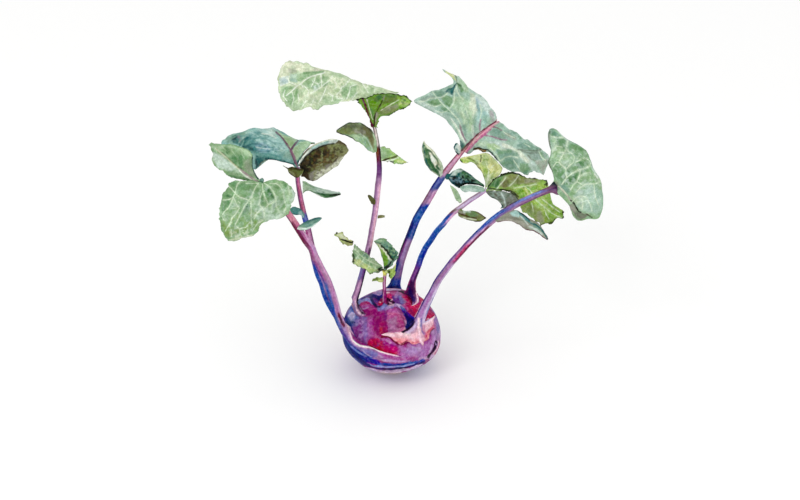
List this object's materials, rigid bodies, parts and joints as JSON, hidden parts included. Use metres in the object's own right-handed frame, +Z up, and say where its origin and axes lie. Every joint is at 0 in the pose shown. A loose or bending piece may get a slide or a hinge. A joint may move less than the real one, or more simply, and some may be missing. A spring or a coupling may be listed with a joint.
{
  "type": "kohlrabi",
  "caption": "Purple kohlrabi: round swollen stem on a small flat cut spot, with long leaf stalks that carry lobed blades and small leaflets.",
  "frame": {"origin": "centre of the small flat cut spot under the swollen stem, on the ground plane", "axes": "+Z up along the axis of the swollen stem, +X along the widest spread of the leaves (to the right from the front), +Y away from the front"},
  "size_m": [0.3609, 0.1818, 0.3079],
  "materials": {
    "bulb_skin": "smooth waxy purple skin, semi-gloss, blue and crimson areas",
    "stalk_skin": "smooth fleshy stalk, violet, cobalt blue and rose, satin",
    "blade_green": "matt blue-green leaf with pale veins",
    "blade_pale": "pale yellow-green upper leaf side with pale veins",
    "blade_under": "matt olive-brown underside of the leaf, raised veins",
    "blade_teal": "dark blue-green leaf with a bloom of wax"
  },
  "bodies": {
    "root": {"bulb": "bulb_skin", "left_front_stalk": "stalk_skin", "left_back_stalk": "stalk_skin", "centre_left_stalk": "stalk_skin", "back_stalk": "stalk_skin", "right_mid_stalk": "stalk_skin", "right_front_stalk": "stalk_skin", "young_stalk": "stalk_skin", "left_front_blade_tip": "blade_green", "left_front_blade_lobe": "blade_green", "left_back_blade": "blade_teal", "left_back_side_lobe": "blade_under", "left_back_base_lobe": "blade_under", "left_back_leaflet": "blade_pale", "left_back_bud_leaflet": "blade_teal", "left_front_leaflet": "blade_teal", "centre_left_blade": "blade_pale", "centre_left_side_lobe": "blade_under", "centre_left_lobe_a": "blade_under", "centre_left_lobe_b": "blade_pale", "centre_left_bract_a": "blade_under", "centre_left_bract_b": "blade_under", "young_leaf_left": "blade_green", "young_leaf_tip": "blade_pale", "young_leaf_right": "blade_green", "young_leaf_frill": "blade_pale", "young_leaf_low": "blade_under", "back_blade_left": "blade_green", "back_blade_right": "blade_green", "back_leaflet_left": "blade_green", "back_leaflet_right": "blade_teal", "back_leaflet_knob": "blade_green", "right_mid_blade_up": "blade_green", "right_mid_blade": "blade_green", "right_mid_side_lobe": "blade_pale", "right_mid_leaflet_a": "blade_pale", "right_mid_leaflet_b": "blade_under", "right_front_blade": "blade_green", "right_front_leaflet_up": "blade_under", "right_front_leaflet_low": "blade_teal"}
  },
  "joints": []
}
